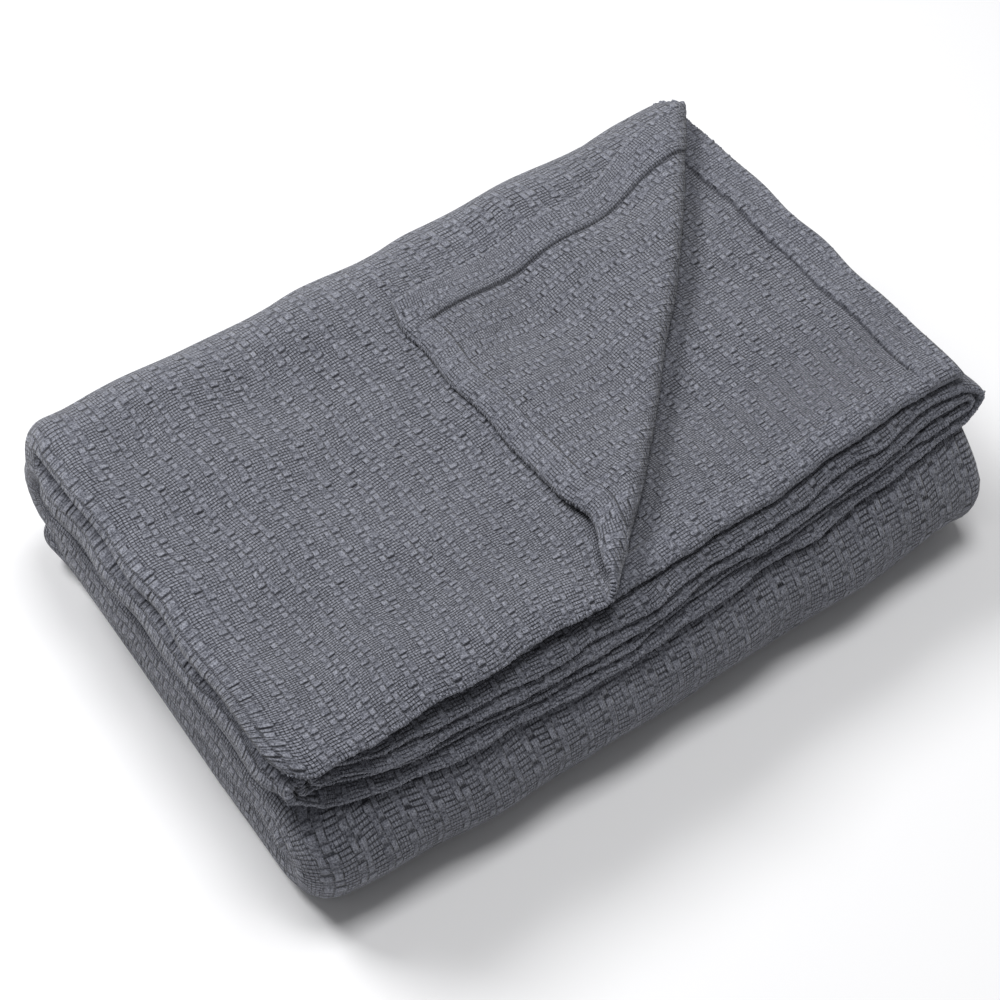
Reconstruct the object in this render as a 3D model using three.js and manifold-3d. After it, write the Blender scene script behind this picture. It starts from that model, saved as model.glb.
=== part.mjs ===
// A folded cotton blanket: one woven cloth, hemmed all round, doubled end to end, folded in three
// like a letter, then in three like a fan, with one corner of its top layer turned back over the
// pile. Millimetres, +Z up. The pile rests on z = 0 with its long side along X; its free edges and
// its big round fold face -Y, and the turned-back corner comes from the +X end.
import * as THREE from "three";
import Module from "manifold-3d";

const wasm = await Module();
wasm.setup();

// The cloth, and the distance from one layer of the pile to the next.
const CLOTH = 3;
const HEM_EXTRA = 1.2; // what a turned hem adds on the cloth's under side
const SIDE_HEM = 18;
const END_HEM = 24;
const PITCH = 7.25;

// The pile as folded, before it settles.
const LENGTH = 450; // over its two rounded ends
const TOP_DEPTH = 296; // from the turned-back layer's own front line to the back fold
const FRONT_REACH = 20; // how much further forward the big front fold stands
const HEMMED_END_IN = 6; // how far the hemmed ends stop short of the right end
const TUCKED_LEG = 419; // the third of the letter that lies inside, with the doubling's crease
const BOTTOM_SHORT = 12; // how far the bottom packet's crease stops short of the back

// The turned-back corner: where its crease meets the front and end edges, measured from the
// cloth's corner, and how the cloth bends over and comes down again on the layer below.
const CORNER = {
  alongFront: 238,
  alongEnd: 244,
  bendRadius: 6,
  overTurn: 0.2,
  landing: 70,
  tipWidth: 6,
  rootLap: 3, // how far its root runs back into the layer it is part of
  rootThinner: 0.1,
};

// The doubled cloth in its long direction: rows of runs and half turns, from the hemmed ends.
const LONG_FOLDS = [
  { name: "top leg", run: LENGTH - 2.5 * PITCH - HEMMED_END_IN, steps: 8 },
  { name: "left turn", radius: 2 * PITCH, side: 1, steps: 6 },
  { name: "bottom leg", run: LENGTH - 4.3 * PITCH, steps: 7 },
  { name: "right turn", radius: PITCH, side: 1, steps: 5 },
  { name: "tucked leg", run: TUCKED_LEG, steps: 5 },
];

// A packet is six layers thick, so the fan turns on a radius of three pitches.
const FAN_RADIUS = 3 * PITCH;
const FAN_OUTSIDE = FAN_RADIUS + 2.5 * PITCH + CLOTH / 2;
const BACK = TOP_DEPTH / 2;
const FRONT = -TOP_DEPTH / 2 - FRONT_REACH;
const TOP_PACKET_Z = 5 * FAN_RADIUS - (PITCH - CLOTH) / 2;
const TOP_LAYER_Z = TOP_PACKET_Z + 2.5 * PITCH;
const SPLIT_Z = 12 * PITCH; // between the top packet and the lower two
const FAN_FOLDS = [
  { name: "top packet", run: BACK - FAN_OUTSIDE - FRONT, steps: 6 },
  { name: "back fold", radius: FAN_RADIUS, side: -1, steps: 6 },
  { name: "middle packet", run: BACK - FRONT - 2 * FAN_OUTSIDE, steps: 4 },
  { name: "front fold", radius: FAN_RADIUS, side: 1, steps: 7 },
  { name: "bottom packet", run: BACK - FRONT - FAN_OUTSIDE - BOTTOM_SHORT, steps: 4 },
];

// How the pile settles, in rows along its length from the left end (-1) to the right end (1): the
// share of its height that each half keeps, and how far its front fold bulges.
const SETTLE = [
  { at: -1, lower: 1.015, upper: 0.985, bulge: -5 },
  { at: -0.5, lower: 0.995, upper: 0.985, bulge: 1 },
  { at: 0, lower: 0.99, upper: 0.98, bulge: 4 },
  { at: 0.5, lower: 1.015, upper: 0.98, bulge: 2 },
  { at: 1, lower: 1.05, upper: 0.975, bulge: -1 },
];
const BULGE_FADE = 0.3; // the bulge ends at this share of the way to the back

// How far the free edge of each of the top packet's six layers steps back from the front, the
// lowest layer first, in rows along the length as above.
const EDGE_BACK = [
  { at: -0.96, layers: [22, 25, 20.5, 25, 30, 23.5] },
  { at: -0.75, layers: [14, 20, 18, 23.5, 29, 24.5] },
  { at: -0.47, layers: [11, 16, 15.5, 18.5, 28, 24] },
  { at: -0.18, layers: [9, 12, 12.5, 16.5, 28, 26] },
  { at: 0.1, layers: [14, 18, 16.5, 19, 28, 28] },
  { at: 0.42, layers: [14, 19, 17.5, 22, 30, 30] },
  { at: 0.62, layers: [19, 21, 21, 26, 33, 31] },
  { at: 0.82, layers: [21, 23, 25.5, 28.5, 34, 33] },
  { at: 1, layers: [22, 25, 27, 30, 33, 34] },
];
const EDGE_FADE = 120; // the edges' steps die out over this depth
const DROOP_FROM = 44; // the top packet droops over this distance behind the front
const DROOP = 12; // and this far at the front, where its longest layers nearly reach
const LIP_STATIONS = [8, 30]; // steps of the sheet for the droop, from the free edge
const CREASE_KEPT = 30; // next to the turned-back corner's crease the top layer doesn't droop

// How far each packet's ends stand out, in rows along the fan's length from the free edges.
const END_REACH = [
  { at: 0, left: 0, right: 0 },
  { at: 0.28, left: 0, right: 2 },
  { at: 0.37, left: 1, right: -1 },
  { at: 0.6, left: 0, right: -2 },
  { at: 0.72, left: 2, right: 0 },
  { at: 1, left: -4, right: 0 },
];
const END_FROM = 0.3; // the ends' reach starts at this share of the half length

const mix = (a, b, t) => a + (b - a) * t;
const ease = (t) => {
  const c = Math.min(1, Math.max(0, t));
  return c * c * (3 - 2 * c);
};

// A value from each row of a table, eased between the two rows that lie on either side.
function between(rows, at, valueOf) {
  let i = 0;
  while (i < rows.length - 2 && rows[i + 1].at < at) i++;
  const share = (at - rows[i].at) / (rows[i + 1].at - rows[i].at);
  return mix(valueOf(rows[i]), valueOf(rows[i + 1]), ease(share));
}
const lookUp = (rows, column, at) => between(rows, at, (row) => row[column]);

// The step of a free edge, for layers 0 to 5 and anything between them in the turns.
function edgeBack(place, layer) {
  const k = Math.min(4, Math.max(0, Math.floor(layer)));
  return between(EDGE_BACK, place, ({ layers }) => mix(layers[k], layers[k + 1], layer - k));
}

// A path of straight runs and turns in a plane. Its at(distance) gives a point and the direction
// to the left of travel there, and stations() the distances that divide its rows into steps.
function foldPath(start, heading, rows) {
  const pieces = [];
  let distance = 0;
  let point = start;
  let angle = heading;

  function walk(piece, gone) {
    const [c, s] = [Math.cos(piece.angle), Math.sin(piece.angle)];
    if (!piece.radius) {
      return { point: [piece.point[0] + c * gone, piece.point[1] + s * gone], angle: piece.angle };
    }
    const arm = piece.radius * piece.side;
    const turned = piece.angle + gone / arm;
    const x = piece.point[0] + arm * (Math.sin(turned) - s);
    const y = piece.point[1] - arm * (Math.cos(turned) - c);
    return { point: [x, y], angle: turned };
  }

  for (const row of rows) {
    const size = row.radius ? row.radius * (row.angle ?? Math.PI) : row.run;
    const piece = { radius: row.radius, side: row.side, steps: row.steps, size, distance, point, angle };
    pieces.push(piece);
    ({ point, angle } = walk(piece, size));
    distance += size;
  }

  function at(place) {
    let i = pieces.length - 1;
    while (i > 0 && place < pieces[i].distance) i--;
    const here = walk(pieces[i], place - pieces[i].distance);
    return { point: here.point, left: [-Math.sin(here.angle), Math.cos(here.angle)] };
  }

  function stations() {
    const list = pieces.flatMap((p) =>
      Array.from({ length: p.steps }, (_, k) => p.distance + (p.size * k) / p.steps),
    );
    return [...list, distance];
  }

  return { at, stations, total: distance, first: pieces[0].size };
}

const longPath = foldPath([LENGTH / 2 - HEMMED_END_IN, 2 * PITCH], Math.PI, LONG_FOLDS);
const fanPath = foldPath([FRONT, TOP_PACKET_Z], 0, FAN_FOLDS);
const doubledPath = foldPath([0, PITCH / 2], 0, [
  { name: "upper half", run: longPath.total, steps: 1 },
  { name: "crease", radius: PITCH / 2, side: -1, steps: 4 },
  { name: "lower half", run: longPath.total, steps: 1 },
]);
const corner = cornerTriangle();

// The triangle of the top layer that is turned back, with its crease from front to end.
function cornerTriangle() {
  const tip = new THREE.Vector2(LENGTH / 2 - HEMMED_END_IN, FRONT + edgeBack(1, 5));
  const frontX = tip.x - CORNER.alongFront;
  const front = new THREE.Vector2(frontX, FRONT + edgeBack(frontX / (LENGTH / 2), 5));
  const end = new THREE.Vector2(tip.x, tip.y + CORNER.alongEnd);
  const along = end.clone().sub(front).normalize();
  const out = new THREE.Vector2(along.y, -along.x); // from the crease towards the cloth's corner
  return { tip, front, end, along, out };
}

// The doubled and letter-folded packet, seen from its long side: u runs from one end hem through
// the crease to the other, and lift is the distance from the middle of the cloth's thickness,
// positive on its outer face.
function packetPoint(u, lift) {
  const doubled = doubledPath.at(u);
  const along = doubled.point[0] + doubled.left[0] * lift;
  const side = doubled.point[1] + doubled.left[1] * lift;
  const { point, left } = longPath.at(along);
  return { x: point[0] - left[0] * side, depth: point[1] - left[1] * side };
}

// A point of the cloth after all its folds. v runs from the free side hem in the top packet
// through the fan to the other side hem.
function foldedPoint(u, v, lift) {
  const { x, depth } = packetPoint(u, lift);
  const place = x / (LENGTH / 2);
  const layer = Math.min(5, Math.max(0, packetPoint(u, 0).depth / PITCH + 2.5));
  const fan = fanPath.at(v + edgeBack(place, layer) * (1 - ease(v / EDGE_FADE)));
  const share = v / fanPath.total;
  const reach =
    lookUp(END_REACH, "right", share) * ease((place - END_FROM) / (1 - END_FROM)) -
    lookUp(END_REACH, "left", share) * ease((-place - END_FROM) / (1 - END_FROM));
  const y = fan.point[0] + fan.left[0] * depth;
  const onTopLayer = u < longPath.first;
  const toCrease = new THREE.Vector2(x, y).sub(corner.front).dot(corner.out);
  const kept = onTopLayer ? ease(-toCrease / CREASE_KEPT) : 1;
  const inTopPacket = v < EDGE_FADE;
  const nearFront = Math.max(0, 1 - (y - FRONT) / DROOP_FROM);
  const droop = inTopPacket ? DROOP * kept * nearFront ** 1.5 : 0;
  return [x + reach, y, fan.point[1] + fan.left[1] * depth - droop];
}

// The pile's own weight and slackness, on any point of the folded shape.
function settled([x, y, z]) {
  const place = x / (LENGTH / 2);
  const low = Math.min(z, SPLIT_Z) * lookUp(SETTLE, "lower", place);
  const high = Math.max(z - SPLIT_Z, 0) * lookUp(SETTLE, "upper", place);
  const front = ease((BACK * BULGE_FADE - y) / (BACK * BULGE_FADE - FRONT));
  const inLowerHalf = 1 - ease((z - SPLIT_Z + PITCH) / (2 * PITCH));
  return [x, y - lookUp(SETTLE, "bulge", place) * front * inLowerHalf, low + high];
}

function solidOf(positions, faces) {
  const mesh = new wasm.Mesh({
    numProp: 3,
    vertProperties: new Float32Array(positions),
    triVerts: new Uint32Array(faces),
  });
  return new wasm.Manifold(mesh);
}

// A closed sheet of cloth from a grid of points on its inner face (0) and its outer face (1).
function sheetSolid(columns, rows, pointAt) {
  const positions = [];
  for (let i = 0; i < columns; i++) {
    for (let j = 0; j < rows; j++) positions.push(...pointAt(i, j, 0), ...pointAt(i, j, 1));
  }
  const index = (i, j, face) => (i * rows + j) * 2 + face;
  const faces = [];
  const quad = (a, b, c, d) => faces.push(a, b, c, a, c, d);
  const rim = (i, j, iNext, jNext) =>
    quad(index(i, j, 0), index(i, j, 1), index(iNext, jNext, 1), index(iNext, jNext, 0));
  for (let i = 0; i < columns - 1; i++) {
    for (let j = 0; j < rows - 1; j++) {
      const corners = [[i, j], [i + 1, j], [i + 1, j + 1], [i, j + 1]];
      quad(...corners.map(([a, b]) => index(a, b, 0)));
      quad(...corners.reverse().map(([a, b]) => index(a, b, 1)));
    }
    rim(i, 0, i + 1, 0);
    rim(i + 1, rows - 1, i, rows - 1);
  }
  for (let j = 0; j < rows - 1; j++) {
    rim(0, j + 1, 0, j);
    rim(columns - 1, j, columns - 1, j + 1);
  }
  return solidOf(positions, faces);
}

// The stations of a direction, with one more on each side of a hem's inner edge.
function withHems(list, hem, total) {
  const edges = [hem - 1.5, hem + 1.5, total - hem - 1.5, total - hem + 1.5];
  return [...list, ...edges].sort((a, b) => a - b);
}

function foldedPile() {
  const { total } = doubledPath;
  const long = longPath.stations();
  const crease = doubledPath.stations().filter((u) => u > longPath.total && u < total - longPath.total);
  const along = [...long, ...crease, ...long.map((u) => total - u).reverse()];
  const us = withHems(along, END_HEM, total);
  const vs = withHems([...LIP_STATIONS, ...fanPath.stations()], SIDE_HEM, fanPath.total);
  return sheetSolid(us.length, vs.length, (i, j, face) => {
    const fromEnd = Math.min(us[i], total - us[i]);
    const fromSide = Math.min(vs[j], fanPath.total - vs[j]);
    const hem = fromEnd < END_HEM || fromSide < SIDE_HEM ? HEM_EXTRA : 0;
    return foldedPoint(us[i], vs[j], face ? CLOTH / 2 : -CLOTH / 2 - hem);
  });
}

// What is taken away under the turned-back corner: everything above the second layer there.
function cornerCutter({ front, end, along, out }) {
  const shape = new THREE.Shape([
    front.clone().addScaledVector(along, -40),
    front.clone().addScaledVector(out, 300),
    end.clone().addScaledVector(out, 300),
    end.clone().addScaledVector(along, 40),
  ]);
  const prism = new THREE.ExtrudeGeometry(shape, { depth: 40, bevelEnabled: false });
  prism.translate(0, 0, TOP_LAYER_Z - PITCH / 2);
  const position = prism.getAttribute("position");
  const corners = [];
  const known = new Map();
  const faces = [];
  for (let i = 0; i < position.count; i++) {
    const p = [position.getX(i), position.getY(i), position.getZ(i)];
    const key = p.map((c) => c.toFixed(3)).join(" ");
    if (!known.has(key)) {
      known.set(key, corners.length / 3);
      corners.push(...p);
    }
    faces.push(known.get(key));
  }
  return solidOf(corners, faces);
}

// The corner itself, bent up over its crease and laid back on the top layer.
function turnedCorner({ tip, front, end, along, out }) {
  const bend = foldPath([-CORNER.rootLap, 0], 0, [
    { name: "root", run: CORNER.rootLap, steps: 1 },
    { name: "crease", radius: CORNER.bendRadius, side: 1, angle: Math.PI + CORNER.overTurn, steps: 7 },
    { name: "landing", radius: CORNER.landing / CORNER.overTurn, side: -1, angle: CORNER.overTurn, steps: 4 },
    { name: "flat", run: 400, steps: 1 },
  ]);
  const height = tip.clone().sub(front).dot(out);
  const width = end.distanceTo(front);
  const tipAlong = tip.clone().sub(front).dot(along);
  const last = height * (1 - CORNER.tipWidth / width);
  const bent = bend.stations().filter((d) => d < last * 0.6 + CORNER.rootLap);
  const stations = [...bent, ...[0.6, 0.8, 1].map((share) => last * share + CORNER.rootLap)];
  const rows = 9;
  return sheetSolid(stations.length, rows, (i, j, face) => {
    const share = Math.max(0, stations[i] - CORNER.rootLap) / height;
    const m = mix(mix(width, tipAlong, share), tipAlong * share, j / (rows - 1));
    const thin = share > 0 ? 0 : CORNER.rootThinner;
    const lift = (face ? 1 : -1) * (CLOTH / 2 - thin);
    const { point, left } = bend.at(stations[i]);
    const reach = point[0] + left[0] * lift;
    return [
      front.x + along.x * m + out.x * reach,
      front.y + along.y * m + out.y * reach,
      TOP_LAYER_Z + point[1] + left[1] * lift,
    ];
  });
}

const cloth = foldedPile().subtract(cornerCutter(corner)).add(turnedCorner(corner));
const { vertProperties, triVerts } = cloth.getMesh();
const positions = new Float32Array(vertProperties);
for (let i = 0; i < positions.length; i += 3) positions.set(settled(positions.slice(i, i + 3)), i);

const geometry = new THREE.BufferGeometry();
geometry.setAttribute("position", new THREE.BufferAttribute(positions, 3));
geometry.setIndex(new THREE.BufferAttribute(new Uint32Array(triVerts), 1));
geometry.computeVertexNormals();
geometry.computeBoundingBox();
const box = geometry.boundingBox;
geometry.translate(-(box.min.x + box.max.x) / 2, -(box.min.y + box.max.y) / 2, -box.min.z);

const cotton = new THREE.MeshStandardMaterial({ color: 0x5d6573, roughness: 0.95, metalness: 0 });
const blanket = new THREE.Mesh(geometry, cotton);
blanket.name = "blanket";

const foldedBlanket = new THREE.Group();
foldedBlanket.add(blanket);
export default foldedBlanket;
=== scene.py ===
# %% [markdown]
# # A folded cotton blanket
# One woven cotton cloth with turned hems. It is doubled end to end, folded in three along its
# length and in three across its depth, with one corner of the top layer turned back. The cloth
# never stretches, so the whole shape can be worked out: a point of the flat cloth goes through one
# fold after another and comes out in the pile. That keeps the weave, the hems and the stitches in
# their right places, because they are all laid out on the flat cloth first.

# %% The frame that everything is built in
import math

import bpy
import numpy as np
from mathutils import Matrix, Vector


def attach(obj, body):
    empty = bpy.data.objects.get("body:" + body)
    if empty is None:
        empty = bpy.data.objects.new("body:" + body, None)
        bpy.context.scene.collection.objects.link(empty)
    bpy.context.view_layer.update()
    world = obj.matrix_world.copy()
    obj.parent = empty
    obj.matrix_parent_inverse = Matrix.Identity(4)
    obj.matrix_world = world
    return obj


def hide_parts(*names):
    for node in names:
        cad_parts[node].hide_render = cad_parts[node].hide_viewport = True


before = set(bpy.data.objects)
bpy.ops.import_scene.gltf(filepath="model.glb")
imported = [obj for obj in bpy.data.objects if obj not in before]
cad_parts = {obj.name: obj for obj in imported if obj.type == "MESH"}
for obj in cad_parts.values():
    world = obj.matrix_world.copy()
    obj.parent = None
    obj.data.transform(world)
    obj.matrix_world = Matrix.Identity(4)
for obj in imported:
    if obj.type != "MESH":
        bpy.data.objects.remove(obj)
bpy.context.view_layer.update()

# %% [markdown]
# ## Sizes
# Everything about the cloth is in millimetres until the last step. The folds have the sizes of the
# solid that this cloth stands for. The cloth itself is a little plumper here, because a thick soft
# weave fills most of the room between one layer and the next.

# %% Cloth and folds
MM = 0.001
CLOTH = 3.7
SIDE_HEM = 18
END_HEM = 24
HEM_STEP = 0.7
LIP_STEP = 0.2
LOOSE_SIDE_STEP = 1.7
LOOSE_END_STEP = 2.4
LOOSE_END_TO = 255
LOOSE_SIDE_TO = 225
PITCH = 7.25

LENGTH = 450
TOP_DEPTH = 296
FRONT_REACH = 20
HEMMED_END_IN = 6
TUCKED_LEG = 419
BOTTOM_SHORT = 12

BACK = TOP_DEPTH / 2
FRONT = -TOP_DEPTH / 2 - FRONT_REACH
FAN_RADIUS = 3 * PITCH
FAN_OUTSIDE = FAN_RADIUS + 2.5 * PITCH + 1.5
TOP_PACKET_Z = 5 * FAN_RADIUS - (PITCH - 3) / 2
TOP_LAYER_Z = TOP_PACKET_Z + 2.5 * PITCH
SPLIT_Z = 12 * PITCH

# %% [markdown]
# ## Fold paths
# Seen from its edge, a folded cloth is a line of straight runs and half turns. A path holds those
# rows, and gives the point and the left-hand direction at any distance along it. The distances
# where the mesh gets a row of vertices come from the same rows, closer together in the turns.


# %% A path of runs and turns
class FoldPath:
    def __init__(self, start, heading, rows):
        self.rows = []
        distance, point, angle = 0.0, np.array(start, float), heading
        for row in rows:
            size = row["radius"] * row.get("angle", math.pi) if "radius" in row else row["run"]
            self.rows.append((row, size, distance, point, angle))
            (x, y), angle = self.walk(row, point, angle, size)
            point = np.array([x, y])
            distance += size
        self.total = distance

    @staticmethod
    def walk(row, point, angle, gone):
        """The point and direction after going that far along one row."""
        if "radius" not in row:
            return (point[0] + np.cos(angle) * gone, point[1] + np.sin(angle) * gone), angle + 0 * gone
        arm = row["radius"] * row["side"]
        turned = angle + gone / arm
        x = point[0] + arm * (np.sin(turned) - np.sin(angle))
        y = point[1] - arm * (np.cos(turned) - np.cos(angle))
        return (x, y), turned

    def at(self, place):
        """x, y and the left-hand direction's x, y at each distance of an array."""
        place = np.asarray(place, float)
        x, y, turned = (np.zeros(place.shape) for _ in range(3))
        for k, (row, size, distance, point, angle) in enumerate(self.rows):
            here = np.ones(place.shape, bool)
            if k > 0:
                here &= place >= distance
            if k < len(self.rows) - 1:
                here &= place < distance + size
            (x[here], y[here]), turned[here] = self.walk(row, point, angle, place[here] - distance)
        return x, y, -np.sin(turned), np.cos(turned)

    def stations(self, column="steps"):
        """Distances for the mesh: each row split into its own number of steps."""
        ends = [distance + size * np.arange(row[column]) / row[column]
                for row, size, distance, _, _ in self.rows]
        return np.concatenate([*ends, [self.total]])


# %% The folds and the turned-back corner
TOP_LEG = LENGTH - 2.5 * PITCH - HEMMED_END_IN
RIGHT_PART = 262
long_path = FoldPath([LENGTH / 2 - HEMMED_END_IN, 2 * PITCH], math.pi, [
    {"name": "top leg, right part", "run": RIGHT_PART, "steps": 74, "inner": 36},
    {"name": "top leg, left part", "run": TOP_LEG - RIGHT_PART, "steps": 30, "inner": 9},
    {"name": "left turn", "radius": 2 * PITCH, "side": 1, "steps": 24, "inner": 8},
    {"name": "bottom leg", "run": LENGTH - 4.3 * PITCH, "steps": 54, "inner": 36},
    {"name": "right turn", "radius": PITCH, "side": 1, "steps": 8, "inner": 6},
    {"name": "tucked leg", "run": TUCKED_LEG, "steps": 40, "inner": 36},
])
fan_path = FoldPath([FRONT, TOP_PACKET_Z], 0, [
    {"name": "top packet, front part", "run": 246, "steps": 56},
    {"name": "top packet, back part", "run": BACK - FAN_OUTSIDE - FRONT - 246, "steps": 6},
    {"name": "back fold", "radius": FAN_RADIUS, "side": -1, "steps": 12},
    {"name": "middle packet", "run": BACK - FRONT - 2 * FAN_OUTSIDE, "steps": 10},
    {"name": "front fold", "radius": FAN_RADIUS, "side": 1, "steps": 14},
    {"name": "bottom packet", "run": BACK - FRONT - FAN_OUTSIDE - BOTTOM_SHORT, "steps": 8},
])
doubled_path = FoldPath([0, PITCH / 2], 0, [
    {"name": "upper half", "run": long_path.total},
    {"name": "crease", "radius": PITCH / 2, "side": -1},
    {"name": "lower half", "run": long_path.total},
])
FLAT_LENGTH = doubled_path.total
FLAT_WIDTH = fan_path.total
print(f"flat cloth {FLAT_LENGTH:.0f} x {FLAT_WIDTH:.0f} mm")

ALONG_FRONT = 238
ALONG_END = 244
corner_path = FoldPath([0, 0], 0, [
    {"name": "bend", "radius": 6, "side": 1, "angle": math.pi + 0.2},
    {"name": "landing", "radius": 70 / 0.2, "side": -1, "angle": 0.2},
    {"name": "flat", "run": 400},
])

# %% [markdown]
# ## How a pile settles
# A real pile is never square. Its layers lie closer at one end than at the other, the free edges
# step back by different amounts and droop, and the rounded ends stand out more or less. Each table
# below has a row per place and a column per effect, and a value between two rows is eased.

# %% Tables of unevenness
SETTLE = {
    "at": [-1, -0.5, 0, 0.5, 1],
    "lower": [1.015, 0.995, 0.99, 1.015, 1.05],
    "upper": [0.985, 0.985, 0.98, 0.98, 0.975],
    "bulge": [-5, 1, 4, 2, -1],
}
# How far each layer's free edge steps back from the front, the lowest layer first.
EDGE_BACK = {
    "at": [-0.96, -0.75, -0.47, -0.18, 0.1, 0.42, 0.62, 0.82, 1],
    "layer 0": [22, 15, 12, 11, 14, 16, 18, 20, 22],
    "layer 1": [33, 22, 16, 12, 18, 19, 21, 23, 25],
    "layer 2": [30, 20, 15.5, 12.5, 16.5, 17.5, 21, 25.5, 27],
    "layer 3": [34, 24, 18.5, 16.5, 19, 22, 26, 28.5, 30],
    "layer 4": [38, 31, 28, 28, 28, 30, 33, 34, 33],
    "layer 5": [23.5, 24.5, 24, 26, 28, 30, 31, 33, 34],
}
END_REACH = {
    "at": [0, 0.28, 0.37, 0.6, 0.72, 1],
    "left": [0, 0, 1, 0, 2, -4],
    "right": [0, 2, -1, -2, 0, 0],
}
EDGE_FADE = 120
BULGE_FADE = 0.3
END_FROM = 0.3
DROOP_FROM = 44
DROOP = 12
CREASE_KEPT = 30
LIP = 9
LIP_CURL = 1.2
EDGE_WAVE = 0.5
BACK_PULL = 9
FRONT_PULL = 4


def ease(t):
    t = np.clip(t, 0, 1)
    return t * t * (3 - 2 * t)


def mix(a, b, t):
    return a + (b - a) * t


def look_up(table, column, at):
    keys, values = np.array(table["at"], float), np.array(table[column], float)
    i = np.clip(np.searchsorted(keys, at, side="right") - 1, 0, len(keys) - 2)
    return mix(values[i], values[i + 1], ease((at - keys[i]) / (keys[i + 1] - keys[i])))


# %% A point of the folded cloth
def edge_back(place, layer):
    """The step of a free edge, for layers 0 to 5 and anything between in the turns."""
    columns = np.stack([look_up(EDGE_BACK, f"layer {k}", place) for k in range(6)])
    k = np.clip(layer.astype(int), 0, 4)
    below = np.take_along_axis(columns, k[None], 0)[0]
    above = np.take_along_axis(columns, k[None] + 1, 0)[0]
    return mix(below, above, layer - k)


def settled(x, y, z):
    place = np.clip(x / (LENGTH / 2), -1, 1)
    low = np.minimum(z, SPLIT_Z) * look_up(SETTLE, "lower", place)
    high = np.maximum(z - SPLIT_Z, 0) * look_up(SETTLE, "upper", place)
    front = ease((BACK * BULGE_FADE - y) / (BACK * BULGE_FADE - FRONT))
    lower_half = 1 - ease((z - SPLIT_Z + PITCH) / (2 * PITCH))
    return x, y - look_up(SETTLE, "bulge", place) * front * lower_half, low + high


def turned_back(u, x, flat_y, y, z):
    """The corner of the top layer that lies beyond the crease, bent over and laid back. The crease
    is straight but for its two ends, which pull over towards the back left."""
    corner = np.array([LENGTH / 2 - HEMMED_END_IN, FRONT + EDGE_BACK["layer 5"][-1]])
    start = corner + [-ALONG_FRONT, -2.0]
    end = corner + [0, ALONG_END]
    length = np.linalg.norm(end - start)
    along = (end - start) / length
    out = np.array([along[1], -along[0]])
    level = (x - start[0]) * along[0] + (flat_y - start[1]) * along[1]
    pull = BACK_PULL * ease((level - length + 70) / 80) + FRONT_PULL * ease((36 - level) / 40)
    beyond = (x - start[0]) * out[0] + (flat_y - start[1]) * out[1] + pull
    flap = (u < TOP_LEG) & (beyond > 0) & (flat_y < BACK)
    px, pz, _, _ = corner_path.at(beyond[flap])
    x, y, z = x.copy(), y.copy(), z.copy()
    x[flap] = start[0] + along[0] * level[flap] + out[0] * (px - pull[flap])
    y[flap] = start[1] + along[1] * level[flap] + out[1] * (px - pull[flap])
    z[flap] = TOP_LAYER_Z + pz
    return x, y, z, beyond, flap


def folded(u, v):
    """The middle of the cloth's thickness: u runs from one end hem to the other, v from the free
    side hem in the top packet to the other one in the bottom packet."""
    along, side, _, _ = doubled_path.at(u)
    x, depth, lx, ly = long_path.at(along)
    x, depth = x - lx * side, depth - ly * side
    place = np.clip(x / (LENGTH / 2), -1, 1)
    layer = np.clip(depth / PITCH + 2.5, 0, 5)
    edge = edge_back(place, layer) * (1 - ease(v / EDGE_FADE))
    y, z, fy, fz = fan_path.at(v + edge)
    y, z = y + fy * depth, z + fz * depth
    share = np.clip(v / FLAT_WIDTH, 0, 1)
    x = x + look_up(END_REACH, "right", share) * ease((place - END_FROM) / (1 - END_FROM))
    x = x - look_up(END_REACH, "left", share) * ease((-place - END_FROM) / (1 - END_FROM))
    wave = EDGE_WAVE * (np.sin(x / 9.1 + 2.1 * layer) + 0.6 * np.sin(x / 4.3 + 4.3 * layer))
    y = y + wave * (1 - ease(v / 30))
    x, y, z, beyond, flap = turned_back(u, x, FRONT + v + edge, y, z)
    kept = np.where(u < TOP_LEG, 0.35 + 0.65 * ease(-beyond / CREASE_KEPT), 1.0)
    near_front = np.clip(1 - (y - FRONT) / DROOP_FROM, 0, None)
    drop = DROOP * kept * near_front**1.5 + LIP_CURL * np.clip(1 - v / LIP, 0, 1)**2
    z = z - np.where(v < EDGE_FADE, drop, 0)
    point = np.stack(settled(x, y, z), -1)
    point = pressed(point, PRESSES, np.ones(u.shape))
    point = pressed(point, TOP_LAYER_PRESSES, u < TOP_LEG)
    point = pressed(point, FLAP_PRESSES, flap)
    return rippled(point)


# %% [markdown]
# ## Soft presses and ripples
# Where a hand has pushed the pile, or a fold has sprung, the cloth has a trough or a swelling. Each
# row of these tables is one of them: a line through the pile, its width, how deep it reaches, and
# how far the cloth on the line is pushed. The push dies away with the distance from the line, so
# neighbouring layers move together and don't cut through one another. The turned-back corner has
# its own rows. A few long sine waves then take the last straightness out of the whole pile.

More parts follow.
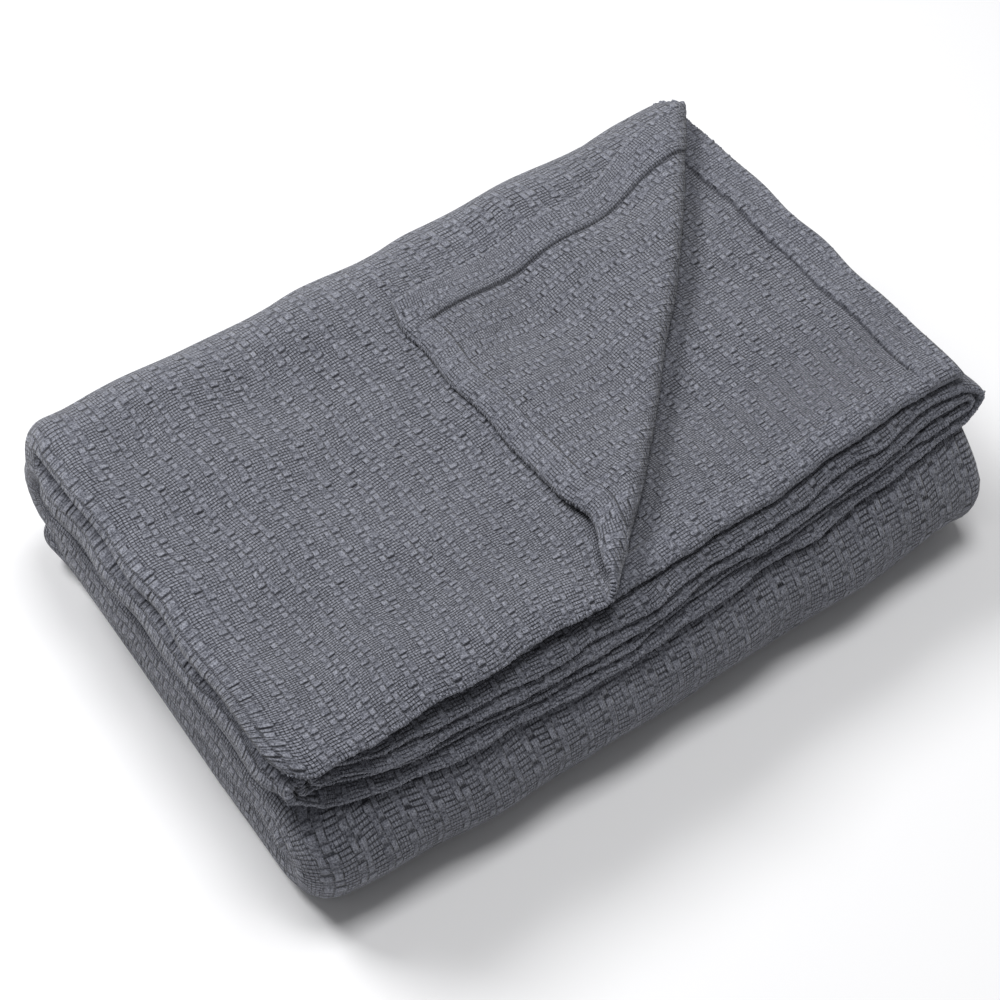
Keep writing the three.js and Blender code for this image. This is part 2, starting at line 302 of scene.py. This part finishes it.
# %% Tables of presses
PRESSES = [
    # place, from, to, width, reach, push
    ("top ridge", (-227, -120, 120), (-227, 110, 123), 4, 22, (-3, 0, 0)),
    ("under the top ridge", (-227, -132, 111), (-227, 108, 114), 3.4, 27, (15, 0, 0)),
    ("second ridge", (-227, -120, 97), (-227, 100, 98), 6, 22, (-5.5, 0, 0)),
    ("under the second ridge", (-222, -134, 84), (-222, 105, 84), 5, 27, (16, 0, 0)),
    ("third ridge", (-227, -130, 57), (-227, 100, 58), 6, 22, (-4, 0, 0)),
    ("under the third ridge", (-227, -134, 43), (-227, 110, 43), 6, 27, (17, 0, 0)),
    ("below that, softer", (-227, -130, 26), (-227, 110, 26), 14, 28, (5, 0, 0)),
    ("front left corner of the top packet", (-230, -168, 132), (-228, -150, 132), 17, 60, (2, 0, -5)),
    ("pocket at the back left corner", (-214, 132, 96), (-200, 140, 100), 9, 24, (6, -8, 0)),
    ("pocket below it", (-212, 132, 60), (-205, 138, 62), 8, 24, (6, -6, 0)),
    ("right end of the top packet", (228, -165, 97), (228, -110, 97), 13, 34, (8, 0, 0)),
    ("rib on the front's right end", (203, -172, 20), (207, -172, 75), 7, 22, (0, 3, 0)),
    ("second rib beside it", (187, -172, 15), (190, -172, 75), 6, 22, (0, 2, 0)),
    ("hollow low on the front", (-40, -172, 30), (70, -172, 34), 16, 26, (0, 2.2, 0)),
    ("hollow in the top, left", (-150, -60, 130), (-90, 60, 130), 34, 60, (0, 0, -2.2)),
    ("hollow in the top, middle", (-60, -90, 130), (-40, 20, 130), 26, 60, (0, 0, -1.6)),
    ("swelling along the back", (-190, 100, 135), (120, 112, 135), 22, 50, (0, 0, 2.0)),
]
TOP_LAYER_PRESSES = [
    ("crease's front end", (-16, -142, 128), (-8, -128, 128), 20, 60, (-12, -4, -1)),
]
FLAP_PRESSES = [
    ("side hem bowed out", (-14, 66, 130), (-14, -80, 132), 17, 60, (-7, 0, 0)),
    ("end hem's near half", (0, 88, 132), (105, 90, 132), 34, 60, (0, -5, 0)),
    ("end hem's far half", (170, 96, 135), (200, 104, 135), 30, 60, (0, 4, 0)),
    ("ripple over the corner", (70, -10, 134), (120, 50, 134), 14, 30, (0, 0, 1.8)),
    ("trough under the corner", (30, 30, 134), (60, 60, 134), 12, 30, (0, 0, -1.2)),
]
# Direction of the wave in x, y and z, its length, its size, and the axis that it moves.
RIPPLES = [
    # along x, along y, along z, length, size, axis
    (1.0, 0.25, 0.3, 118, 0.9, 2),
    (0.3, 1.0, 0.0, 74, 0.7, 2),
    (0.8, -0.6, 0.4, 47, 0.45, 2),
    (0.9, 0.0, 0.7, 63, 0.9, 1),
    (0.6, 0.0, -1.0, 38, 0.6, 1),
    (0.0, 0.9, 0.6, 57, 0.8, 0),
    (0.0, 0.7, -0.9, 31, 0.5, 0),
]


def pressed(point, table, where):
    moved = point.copy()
    for _, start, end, width, reach, push in table:
        start, end, push = np.array(start, float), np.array(end, float), np.array(push, float)
        line = end - start
        share = np.clip(((point - start) @ line) / (line @ line), 0, 1)
        away = point - start - share[..., None] * line
        deep = away @ (push / np.linalg.norm(push))
        wide = (away**2).sum(-1) - deep**2
        weight = np.exp(-wide / width**2 - (deep / reach) ** 2) * where
        moved += weight[..., None] * push
    return moved


def rippled(point):
    """Long waves through the whole pile, dying away at the surface that it rests on."""
    free = ease(point[..., 2] / 30)
    moved = point.copy()
    for k, (ax, ay, az, length, size, axis) in enumerate(RIPPLES):
        way = point @ np.array([ax, ay, az]) / math.hypot(ax, ay, az)
        moved[..., axis] += size * free * np.sin(way * 2 * math.pi / length + 1.7 * k)
    return moved


# %% [markdown]
# ## The sheet
# The cloth is one closed sheet: a grid of points on its outer face, the same grid on its inner face
# and a rim between them. Both faces stand off the folded middle surface along its normal. The
# distance between them is the cloth's thickness, with a step up at the inner edge of each hem, and
# it rounds off towards the edges, where the cloth is turned over. The grid is fine where the top
# layer and its corner show, and coarse inside the pile.


# %% Grid lines of the flat cloth
EDGE_ROUND = 3.4


def with_hem_lines(lines, hem, total):
    near = np.array([0.3, 0.9, 2.0, EDGE_ROUND, 6.0, hem - 1.8, hem - 0.4, hem + 0.4, hem + 1.8])
    lines = np.concatenate([lines, near, total - near])
    lines = np.sort(lines)
    return lines[np.concatenate([[True], np.diff(lines) > 0.28])]


def sheet_lines():
    crease = long_path.total + math.pi * PITCH / 2 * np.arange(1, 6) / 6
    u = np.concatenate([long_path.stations(), crease, FLAT_LENGTH - long_path.stations("inner")[::-1]])
    return with_hem_lines(u, END_HEM, FLAT_LENGTH), with_hem_lines(fan_path.stations(), SIDE_HEM, FLAT_WIDTH)


def half_thickness(u, v):
    """Half the cloth's thickness on its outer and on its inner face. Where a hem lies free, by the
    turned-back corner, it is not pressed flat and stands up more."""
    from_end = np.minimum(u, FLAT_LENGTH - u)
    from_side = np.minimum(v, FLAT_WIDTH - v)
    end_step = mix(HEM_STEP, LOOSE_END_STEP, ease((LOOSE_END_TO - v) / 30))
    side_step = mix(HEM_STEP, LOOSE_SIDE_STEP, ease((LOOSE_SIDE_TO - from_end) / 40))
    end = end_step * (1 - ease((from_end - END_HEM + 0.5) / 1.0))
    side = side_step * (1 - ease((from_side - SIDE_HEM + 0.5) / 1.0))
    swell = LIP_STEP * (1 - ease((from_side - 6) / 14))
    edge = np.clip(np.minimum(from_end, from_side) / EDGE_ROUND, 0, 1)
    round_off = 0.2 + 0.8 * np.sqrt(1 - (1 - edge) ** 2)
    return (CLOTH / 2 + swell) * round_off, (CLOTH / 2 + np.maximum(end, side)) * round_off


def grid_normals(points, lines_u, lines_v):
    along = np.gradient(points, lines_u, axis=0)
    across = np.gradient(points, lines_v, axis=1)
    normal = np.cross(across, along)
    return normal / np.linalg.norm(normal, axis=-1, keepdims=True)


lines_u, lines_v = sheet_lines()
grid_u, grid_v = np.meshgrid(lines_u, lines_v, indexing="ij")
middle = folded(grid_u, grid_v)
normals = grid_normals(middle, lines_u, lines_v)
outer_half, inner_half = half_thickness(grid_u, grid_v)
outer = middle + normals * outer_half[..., None]
inner = middle - normals * inner_half[..., None]
print(f"grid {len(lines_u)} x {len(lines_v)}, {4 * len(lines_u) * len(lines_v)} triangles")

# %% Into the frame
fold_low = np.minimum(outer.min((0, 1)), inner.min((0, 1)))
fold_high = np.maximum(outer.max((0, 1)), inner.max((0, 1)))
# About as far as the solid is moved, to bring the middle of its outline to the frame's origin.
FOLD_TO_FRAME = (1.2, 11.85)
SHIFT = np.array([*FOLD_TO_FRAME, -fold_low[2]])
print("fold box in mm:", fold_low.round(1), fold_high.round(1))


def sheet_mesh(name):
    rows, columns = grid_u.shape
    count = rows * columns
    index = np.arange(count).reshape(rows, columns)
    a, b = index[:-1, :-1].ravel(), index[1:, :-1].ravel()
    c, d = index[1:, 1:].ravel(), index[:-1, 1:].ravel()

    def rim(edge):
        return np.stack([edge[:-1], edge[:-1] + count, edge[1:] + count, edge[1:]], 1)

    faces = np.concatenate([
        np.stack([a, b, c, d], 1), np.stack([a, d, c, b], 1) + count,
        rim(index[:, 0]), rim(index[::-1, -1]), rim(index[0, ::-1]), rim(index[-1, :]),
    ])
    points = np.concatenate([inner.reshape(-1, 3), outer.reshape(-1, 3)])
    mesh = bpy.data.meshes.new(name)
    mesh.from_pydata(((points + SHIFT) * MM).tolist(), [], faces.tolist())
    mesh.polygons.foreach_set("use_smooth", [True] * len(mesh.polygons))
    flat = np.tile(np.stack([grid_u.ravel(), grid_v.ravel()], 1), (2, 1)) * MM
    loops = np.empty(len(mesh.loops), np.int32)
    mesh.loops.foreach_get("vertex_index", loops)
    mesh.uv_layers.new(name="flat cloth").data.foreach_set("uv", flat[loops].ravel())
    face = np.repeat([1.0, 0.0], count)
    mesh.attributes.new("inner face", "FLOAT", "POINT").data.foreach_set("value", face)
    return mesh


blanket = bpy.data.objects.new("blanket_cloth", sheet_mesh("blanket_cloth"))
bpy.context.scene.collection.objects.link(blanket)

# %% [markdown]
# ## Shader maths
# A material is a graph of nodes, and a graph is hard to read. This small class wraps one output
# socket, so that sums and products can be written as ordinary Python and become Math nodes.


# %% Sockets with operators
class Field:
    tree = None

    def __init__(self, socket):
        self.socket = socket

    @classmethod
    def node(cls, kind, settings=None, **inputs):
        """Any node: its type, its settings, then the values or links of its inputs by name or place."""
        made = cls.tree.nodes.new(kind)
        for key, value in (settings or {}).items():
            setattr(made, key, value)
        for key, value in inputs.items():
            socket = made.inputs[int(key[1:]) if key[0] == "_" else key.replace("_", " ")]
            if isinstance(value, Field):
                cls.tree.links.new(value.socket, socket)
            else:
                socket.default_value = value
        return made

    @classmethod
    def math(cls, operation, *values):
        made = cls.node("ShaderNodeMath", {"operation": operation},
                        **{f"_{i}": value for i, value in enumerate(values)})
        return cls(made.outputs[0])

    def __add__(self, other): return Field.math("ADD", self, other)
    def __sub__(self, other): return Field.math("SUBTRACT", self, other)
    def __mul__(self, other): return Field.math("MULTIPLY", self, other)
    def __truediv__(self, other): return Field.math("DIVIDE", self, other)
    def __radd__(self, other): return Field.math("ADD", other, self)
    def __rsub__(self, other): return Field.math("SUBTRACT", other, self)
    def __rmul__(self, other): return Field.math("MULTIPLY", other, self)
    def __neg__(self): return Field.math("MULTIPLY", self, -1.0)

    def step(self, low, high):
        """0 below low, 1 above high, smooth between."""
        made = Field.node("ShaderNodeMapRange", {"interpolation_type": "SMOOTHSTEP"},
                          _0=self, _1=low, _2=high, _3=0.0, _4=1.0)
        return Field(made.outputs[0])


def mix_colour(factor, a, b):
    made = Field.node("ShaderNodeMix", {"data_type": "RGBA"}, _0=factor, _6=a, _7=b)
    return Field(made.outputs[2])


def noise(vector, scale, detail=2.0, roughness=0.5):
    made = Field.node("ShaderNodeTexNoise", {"noise_dimensions": "3D"}, Vector=vector, Scale=scale,
                      Detail=detail, Roughness=roughness)
    return Field(made.outputs[0])


def ramp(position, stops):
    """Three values at once along a row of stops, with straight lines between them."""
    made = Field.node("ShaderNodeValToRGB", _0=position)
    made.color_ramp.interpolation = "LINEAR"
    elements = made.color_ramp.elements
    for _ in range(len(stops) - 2):
        elements.new(0.5)
    for element, (at, _) in zip(elements, stops):
        element.position = at
    for element, (_, values) in zip(elements, stops):
        element.color = (*values, 1)
    return Field(made.outputs[0])


# %% [markdown]
# ## The weave
# The cloth is woven in a repeat of 15 mm. Two columns of raised pads stand side by side, and three
# or four single warp threads run between one pair of columns and the next. Down a column, a wide
# pad, a deep hole, a small pad, a square pad and two thin threads follow one another, and the
# second column has the same things half a repeat further on. The pattern is worked out from the
# flat cloth's own coordinates, which the UV map holds in metres, so it follows every fold.

# %% The repeat
REPEAT = 15.0
THREAD = 1.67
PICK = 1.875
COLUMN_WIDTH = 4.1
PAD_REACH = 1.3
PAD_THREAD = 1.3
# Down one column of pads: place in mm, height, how far it reaches past the column, and the painted shade of
# its gaps and holes.
COLUMN = [
    (0.0, 0.65, 0.6, 0.1),
    (0.6, 0.95, 1.0, 0.0),
    (1.9, 0.9, 1.0, 0.0),
    (2.5, 0.55, 0.8, 0.3),
    (2.9, 0.05, 0.3, 0.85),
    (3.7, 0.0, 0.0, 0.85),
    (4.2, 0.6, 0.0, 0.2),
    (5.0, 0.8, 0.0, 0.0),
    (6.0, 0.7, 0.0, 0.0),
    (6.6, 0.2, 0.0, 0.75),
    (7.1, 0.3, 0.0, 0.5),
    (7.6, 0.85, 0.0, 0.0),
    (8.4, 1.0, 0.0, 0.0),
    (10.4, 0.95, 0.0, 0.0),
    (11.2, 0.35, 0.0, 0.4),
    (12.0, 0.7, 0.0, 0.0),
    (13.0, 0.2, 0.0, 0.65),
    (13.8, 0.55, 0.0, 0.1),
    (14.5, 0.4, 0.3, 0.3),
]


def random_for(x, y):
    """One random number for each whole step of x and y."""
    cell = Field.node("ShaderNodeCombineXYZ", X=Field.math("FLOOR", x), Y=Field.math("FLOOR", y))
    made = Field.node("ShaderNodeTexWhiteNoise", {"noise_dimensions": "2D"}, Vector=Field(cell.outputs[0]))
    return Field(made.outputs["Value"])


def weave(x, y):
    """Height of the weave, and the shade painted into its gaps and holes, from the flat cloth's millimetres.
    """
    from_middle = Field.math("PINGPONG", x, REPEAT / 2)
    second = Field.math("GREATER_THAN", Field.math("FLOORED_MODULO", x, REPEAT), REPEAT / 2)
    place = -y + second * (REPEAT / 2)
    down = Field.math("FLOORED_MODULO", place, REPEAT) / REPEAT
    stops = [(at / REPEAT, (height, reach, gap_shade)) for at, height, reach, gap_shade in COLUMN]
    column = Field.node("ShaderNodeSeparateColor", Color=ramp(down, stops))
    height, reach, gap_shade = (Field(column.outputs[i]) for i in range(3))
    lot = random_for(x / (REPEAT / 2), place / REPEAT)
    lot_2 = random_for(x / (REPEAT / 2) + 40, place / (REPEAT / 2))
    limit = COLUMN_WIDTH + PAD_REACH * reach
    inside = (limit - from_middle).step(-0.3, 0.3) * from_middle.step(0.0, 0.4)
    crown = 1 - 0.3 * Field.math("POWER", Field.math("ABSOLUTE", from_middle - limit * 0.5) / 2.6, 2.0)
    threads = 0.11 * Field.math("COSINE", x * (2 * math.pi / PAD_THREAD))
    pad = height * crown * (0.85 + 0.3 * lot_2) + threads
    sides = Field.math("MINIMUM", from_middle, Field.math("ABSOLUTE", limit - 0.1 - from_middle))
    groove = (1 - sides.step(0.2, 0.8)) * height
    across = Field.math("COSINE", (x - 5.0) * (math.pi / THREAD))
    along = Field.math("COSINE", y * (math.pi / PICK))
    row = 1 - Field.math("ABSOLUTE", along).step(0.2, 0.7)
    line = 1 - Field.math("ABSOLUTE", across).step(0.1, 0.6)
    row_lot = random_for(x / 14 + 11, y / PICK + 0.5)
    line_lot = random_for(x / THREAD + 0.5, y / 5.5 + 7)
    plain = 0.5 + 0.2 * across * along - 0.4 * row - 0.2 * line
    # Painted shade: the lines between the plain weave's threads are darker, most where a row and a line
    # cross.
    plain_gap_shade = Field.math("MAXIMUM", row * (0.35 + 0.65 * row_lot), line * (0.2 + 0.65 * line_lot))
    plain_gap_shade = plain_gap_shade + row * line * 0.6
    # Painted shade: a pad's holes and the grooves along its sides are darkened in the colour.
    gap_shade = Field.math("MAXIMUM", gap_shade * (0.75 + 0.5 * lot), groove * (0.7 + 0.5 * lot_2))
    pad = pad - groove * 0.5
    inside = inside * (0.6 + 0.4 * random_for(x / (REPEAT / 2) + 80, place / (REPEAT / 2) + 9))
    return plain + inside * (pad - plain), plain_gap_shade + inside * (gap_shade - plain_gap_shade)


# %% Slate-blue cotton
PALE = (0.31, 0.32, 0.37, 1)
MID = (0.062, 0.066, 0.086, 1)
# The darkest colour is painted shade, for the weave's gaps and the hems' edges.
PAINTED_SHADE_COLOUR = (0.012, 0.013, 0.019, 1)
# Metres from an end hem over which the painted shadow along the side seam fades: at the corner, and past the
# turned-back part.
CORNER_SEAM_SHADOW = (0.04, 0.055)
FLAP_SEAM_SHADOW = (0.2, 0.24)


def cotton(woven):
    """The cloth's material, or without the weave and hems the same colours for single threads."""
    material = bpy.data.materials.new("cotton" if woven else "cotton_thread")
    material.use_nodes = True
    Field.tree = material.node_tree
    shader = material.node_tree.nodes["Principled BSDF"]
    uv = Field(Field.node("ShaderNodeUVMap", {"uv_map": "flat cloth"}).outputs[0])
    place = Field(Field.node("ShaderNodeTexCoord").outputs["Object"])
    drift = Field.node("ShaderNodeTexNoise", Vector=uv, Scale=14.0, Detail=1.0).outputs["Color"]
    jitter = Field.node("ShaderNodeTexNoise", Vector=uv, Scale=140.0, Detail=1.0).outputs["Color"]
    drift, jitter = (Field.node("ShaderNodeSeparateColor", Color=Field(c)) for c in (drift, jitter))
    split = Field.node("ShaderNodeSeparateXYZ", Vector=uv)
    u, v = Field(split.outputs[0]), Field(split.outputs[1])
    x = u / MM + (Field(drift.outputs[0]) - 0.5) * 5 + (Field(jitter.outputs[0]) - 0.5) * 1.0
    y = v / MM + (Field(drift.outputs[1]) - 0.5) * 5 + (Field(jitter.outputs[1]) - 0.5) * 0.6
    height, gap_shade = weave(x, y)
    from_end = Field.math("MINIMUM", u, FLAT_LENGTH * MM - u)
    from_side = Field.math("MINIMUM", v, FLAT_WIDTH * MM - v)
    inner = Field(Field.node("ShaderNodeAttribute", {"attribute_name": "inner face"}).outputs["Fac"])
    in_end = 1 - from_end.step((END_HEM - 0.5) * MM, (END_HEM + 0.5) * MM)
    in_side = 1 - from_side.step((SIDE_HEM - 0.5) * MM, (SIDE_HEM + 0.5) * MM)
    hem = Field.math("MAXIMUM", in_end, in_side) * inner
    # Painted shadow: a thin dark line just past each hem's inner edge on the inner face, where the raised
    # hem shades the cloth; stronger by the corner and on the turned-back part.
    end_seam_shadow = 1 - Field.math("ABSOLUTE", from_end - (END_HEM + 0.5) * MM).step(0.2 * MM, 1.1 * MM)
    side_seam_shadow = 1 - Field.math("ABSOLUTE", from_side - (SIDE_HEM + 0.5) * MM).step(0.2 * MM, 1.2 * MM)
    on_flap = 1 - u.step(*FLAP_SEAM_SHADOW)
    seam_shadow_strength = Field.math("MAXIMUM", 1 - from_end.step(*CORNER_SEAM_SHADOW), on_flap * 0.9)
    side_seam_shadow = side_seam_shadow * (1 - in_end) * (0.35 + 0.55 * seam_shadow_strength)
    seam_shadow = Field.math("MAXIMUM", end_seam_shadow * from_side.step(0.003, 0.018) * 0.7, side_seam_shadow) * inner
    fuzz = noise(place, 1100.0, 1.0, 0.6)
    fibre = noise(place, 500.0, 1.0, 0.5)
    patch = noise(uv, 90.0, 2.0)
    calm = 1 - hem * 0.15
    if not woven:
        height, gap_shade, seam_shadow, calm = 0.65, 0.1, 0.0, 1.0
    relief = height * calm + (fuzz - 0.5) * 0.45 + (fibre - 0.5) * 0.3
    # Painted shade: raised parts of the weave are lighter and low parts darker in the colour; the noises add
    # the cloth's own uneven tone.
    tone_and_relief_shade = 0.52 + (height - 0.55) * 0.22 * calm + (fuzz - 0.5) * 2.2
    tone_and_relief_shade = tone_and_relief_shade + (fibre - 0.5) * 0.5 + (patch - 0.5) * 0.3
    shade = Field.math("MINIMUM", Field.math("MAXIMUM", tone_and_relief_shade, 0.0), 1.4)
    light = mix_colour(shade, MID, PALE)
    # Painted shade and painted shadow darken the colour towards the darkest one.
    painted_shade = Field.math("MAXIMUM", gap_shade * calm, seam_shadow)
    colour = mix_colour(Field.math("MINIMUM", painted_shade, 1.0), light, PAINTED_SHADE_COLOUR)
    Field.tree.links.new(colour.socket, shader.inputs["Base Color"])
    bump = Field.node("ShaderNodeBump", Strength=1.0, Distance=0.0012, Height=relief)
    Field.tree.links.new(bump.outputs[0], shader.inputs["Normal"])
    shader.inputs["Roughness"].default_value = 0.95
    shader.inputs["Specular IOR Level"].default_value = 0.2
    shader.inputs["Sheen Weight"].default_value = 0.25
    shader.inputs["Sheen Roughness"].default_value = 0.5
    return material


blanket.data.materials.append(cotton(woven=True))
thread_material = cotton(woven=False)

# %% [markdown]
# ## Threads over the edge, and stitches
# A woven edge isn't a clean line: each crossing thread makes a small bump over it. The hems are held
# by a row of long stitches. Both are beads along a path on the flat cloth, so one small Geometry
# Nodes tree makes both: the path is resampled at the thread spacing, and a rounded bead, a little
# different each time, is set along it. The path carries the cloth's own normal as an attribute, so a
# bead can lie flat on the cloth.


# %% A path on the cloth
def cloth_path(name, u, v, face):
    """A wire through points of the flat cloth. face is 0 for the middle of the cloth, 1 for its
    inner face and -1 for its outer one."""
    u, v = np.broadcast_arrays(np.asarray(u, float), np.asarray(v, float))
    step = 0.5
    point = folded(u, v)
    along = folded(np.minimum(u + step, FLAT_LENGTH), v) - folded(np.maximum(u - step, 0), v)
    across = folded(u, np.minimum(v + step, FLAT_WIDTH)) - folded(u, np.maximum(v - step, 0))
    normal = np.cross(across, along)
    normal /= np.linalg.norm(normal, axis=-1, keepdims=True)
    outer_side, inner_side = half_thickness(u, v)
    lift = {0: 0 * u, 1: -inner_side, -1: outer_side}[face]
    mesh = bpy.data.meshes.new(name)
    edges = [(i, i + 1) for i in range(len(u) - 1)]
    mesh.from_pydata(((point + normal * lift[:, None] + SHIFT) * MM).tolist(), edges, [])
    mesh.attributes.new("up", "FLOAT_VECTOR", "POINT").data.foreach_set("vector", normal.ravel())
    return mesh


# %% The tree that threads beads on a path
def bead_tree():
    tree = bpy.data.node_groups.new("beads along a path", "GeometryNodeTree")
    for name, kind in (("Path", "Geometry"), ("Spacing", "Float"), ("Bead", "Vector"),
                       ("Unevenness", "Float"), ("Seed", "Int"), ("Material", "Material")):
        tree.interface.new_socket(name, in_out="INPUT", socket_type="NodeSocket" + kind)
    tree.interface.new_socket("Beads", in_out="OUTPUT", socket_type="NodeSocketGeometry")

    def node(kind, settings=None, **inputs):
        made = tree.nodes.new(kind)
        for key, value in (settings or {}).items():
            setattr(made, key, value)
        for key, value in inputs.items():
            socket = made.inputs[key.replace("_", " ")]
            if isinstance(value, bpy.types.NodeSocket):
                tree.links.new(value, socket)
            else:
                socket.default_value = value
        return made

    given = tree.nodes.new("NodeGroupInput").outputs
    curve = node("GeometryNodeMeshToCurve", Mesh=given["Path"])
    string = node("GeometryNodeResampleCurve", {"mode": "LENGTH"}, Curve=curve.outputs[0],
                  Length=given["Spacing"])
    tangent = node("GeometryNodeInputTangent")
    up = node("GeometryNodeInputNamedAttribute", {"data_type": "FLOAT_VECTOR"}, Name="up")
    turned = node("FunctionNodeAlignRotationToVector", {"axis": "X"}, Vector=tangent.outputs[0])
    flat = node("FunctionNodeAlignRotationToVector", {"axis": "Z", "pivot_axis": "X"},
                Rotation=turned.outputs[0], Vector=up.outputs[0])
    least = node("ShaderNodeMath", {"operation": "SUBTRACT"})
    least.inputs[0].default_value = 1.0
    tree.links.new(given["Unevenness"], least.inputs[1])
    most = node("ShaderNodeMath", {"operation": "ADD"})
    most.inputs[0].default_value = 1.0
    tree.links.new(given["Unevenness"], most.inputs[1])
    lot = node("FunctionNodeRandomValue", {"data_type": "FLOAT_VECTOR"}, Seed=given["Seed"])
    tree.links.new(least.outputs[0], lot.inputs[0])
    tree.links.new(most.outputs[0], lot.inputs[1])
    size = node("ShaderNodeVectorMath", {"operation": "MULTIPLY"})
    tree.links.new(given["Bead"], size.inputs[0])
    tree.links.new(lot.outputs[0], size.inputs[1])
    ball = node("GeometryNodeMeshUVSphere", Segments=6, Rings=5, Radius=1.0)
    beads = node("GeometryNodeInstanceOnPoints", Points=string.outputs[0], Instance=ball.outputs[0],
                 Rotation=flat.outputs[0], Scale=size.outputs[0])
    real = node("GeometryNodeRealizeInstances", Geometry=beads.outputs[0])
    smooth = node("GeometryNodeSetShadeSmooth", Geometry=real.outputs[0])
    dressed = node("GeometryNodeSetMaterial", Geometry=smooth.outputs[0], Material=given["Material"])
    tree.links.new(dressed.outputs[0], tree.nodes.new("NodeGroupOutput").inputs[0])
    return tree


BEADS = bead_tree()


def joined_wires(name, paths):
    """Several wires as one mesh, with the direction that each point calls up."""
    points, edges, ups = [], [], []
    for path in paths:
        first = len(points)
        points += [tuple(vertex.co) for vertex in path.vertices]
        edges += [(a + first, b + first) for a, b in (edge.vertices for edge in path.edges)]
        ups += [tuple(item.vector) for item in path.attributes["up"].data]
    mesh = bpy.data.meshes.new(name)
    mesh.from_pydata(points, edges, [])
    mesh.attributes.new("up", "FLOAT_VECTOR", "POINT").data.foreach_set("vector", np.ravel(ups))
    return mesh


def beads_along(name, paths, **sizes):
    """Beads on all the given wires, as one plain mesh."""
    wire = bpy.data.objects.new(name, joined_wires(name, paths))
    bpy.context.scene.collection.objects.link(wire)
    maker = wire.modifiers.new("beads", "NODES")
    maker.node_group = BEADS
    sizes["Material"] = thread_material
    for item in BEADS.interface.items_tree:
        if item.in_out == "INPUT" and item.name in sizes:
            maker[item.identifier] = sizes[item.name]
    made = wire.evaluated_get(bpy.context.evaluated_depsgraph_get())
    mesh = bpy.data.meshes.new_from_object(made)
    wire.modifiers.remove(maker)
    wire.data = mesh
    print(f"{name}: {sum(len(face.vertices) - 2 for face in mesh.polygons)} triangles")
    return wire

# %% Threads over the free edges
EDGE_IN = 0.9
SHOWN_END = 330

whole_side = np.arange(4, FLAT_LENGTH - 4, 4.0)
end_run = np.arange(3, SHOWN_END, 4.0)
edge_threads = beads_along(
    "edge_threads",
    [cloth_path("side edge", whole_side, EDGE_IN, 0),
     cloth_path("top layer's end", EDGE_IN, end_run, 0),
     cloth_path("next layer's end", FLAT_LENGTH - EDGE_IN, end_run, 0)],
    Spacing=1.9 * MM, Bead=(1.1 * MM, 1.4 * MM, 2.2 * MM), Unevenness=0.35, Seed=3)

# %% Stitches of the hems that show
STITCH_IN = 2.2
near_start = np.arange(30, 300, 4.0)
near_finish = FLAT_LENGTH - near_start[::-1]
hem_stitches = beads_along(
    "hem_stitches",
    [cloth_path("side hem, top layer", near_start, SIDE_HEM - STITCH_IN, 1),
     cloth_path("side hem, next layer", near_finish, SIDE_HEM - STITCH_IN, 1),
     cloth_path("end hem, top layer", END_HEM - STITCH_IN, end_run[4:], 1),
     cloth_path("end hem, next layer", FLAT_LENGTH - END_HEM + STITCH_IN, end_run[4:], 1)],
    Spacing=6.5 * MM, Bead=(2.2 * MM, 0.5 * MM, 0.45 * MM), Unevenness=0.3, Seed=8)

# %% [markdown]
# ## Stage, light and camera
# A plain pale floor, a dim even sky and two soft lights: the key from above the back left, and a
# weaker one from overhead. Both leave the front face of the pile in half shade, so that the lines
# between its layers stay dark.


# %% Floor and light
def plain_material(name, colour, roughness):
    material = bpy.data.materials.new(name)
    material.use_nodes = True
    shader = material.node_tree.nodes["Principled BSDF"]
    shader.inputs["Base Color"].default_value = (*colour, 1)
    shader.inputs["Roughness"].default_value = roughness
    return material


FLOOR = 6.0
floor_mesh = bpy.data.meshes.new("floor")
floor_mesh.from_pydata([(-FLOOR, -FLOOR, 0), (FLOOR, -FLOOR, 0), (FLOOR, FLOOR, 0), (-FLOOR, FLOOR, 0)],
                       [], [(0, 1, 2, 3)])
floor = bpy.data.objects.new("floor", floor_mesh)
floor_mesh.materials.append(plain_material("pale_floor", (0.86, 0.86, 0.87), 0.9))
bpy.context.scene.collection.objects.link(floor)

world = bpy.data.worlds.new("studio")
bpy.context.scene.world = world
world.use_nodes = True
world.node_tree.nodes["Background"].inputs["Color"].default_value = (1, 1, 1, 1)
world.node_tree.nodes["Background"].inputs["Strength"].default_value = 0.22


def soft_light(name, place, aim, size, power):
    light = bpy.data.lights.new(name, "AREA")
    light.size = size
    light.energy = power
    lamp = bpy.data.objects.new(name, light)
    lamp.location = place
    lamp.rotation_euler = (Vector(aim) - Vector(place)).to_track_quat("-Z", "Y").to_euler()
    bpy.context.scene.collection.objects.link(lamp)


soft_light("key", (-0.6, 1.2, 1.75), (0, 0, 0.1), 0.7, 35)
soft_light("overhead", (0.15, -0.05, 2.1), (0, 0, 0.1), 0.7, 23)

# %% Camera
AIM = (-0.034, -0.0398, 0.110)
AZIMUTH, ELEVATION = math.radians(-35.70), math.radians(51.97)
DISTANCE = 1.2317
LENS = 83.3

camera_data = bpy.data.cameras.new("camera")
camera_data.sensor_width = 36
camera_data.lens = LENS
camera = bpy.data.objects.new("camera", camera_data)
toward = Vector((math.sin(AZIMUTH) * math.cos(ELEVATION), -math.cos(AZIMUTH) * math.cos(ELEVATION),
                 math.sin(ELEVATION)))
camera.location = Vector(AIM) + toward * DISTANCE
camera.rotation_euler = (-toward).to_track_quat("-Z", "Y").to_euler()
bpy.context.scene.collection.objects.link(camera)
bpy.context.scene.camera = camera
bpy.context.scene.view_settings.view_transform = "Standard"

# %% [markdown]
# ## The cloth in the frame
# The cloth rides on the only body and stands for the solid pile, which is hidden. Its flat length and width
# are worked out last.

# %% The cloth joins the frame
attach(blanket, "root")
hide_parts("blanket")
for extra in (edge_threads, hem_stitches):
    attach(extra, "root")
FLAT_LENGTH * MM
FLAT_WIDTH * MM
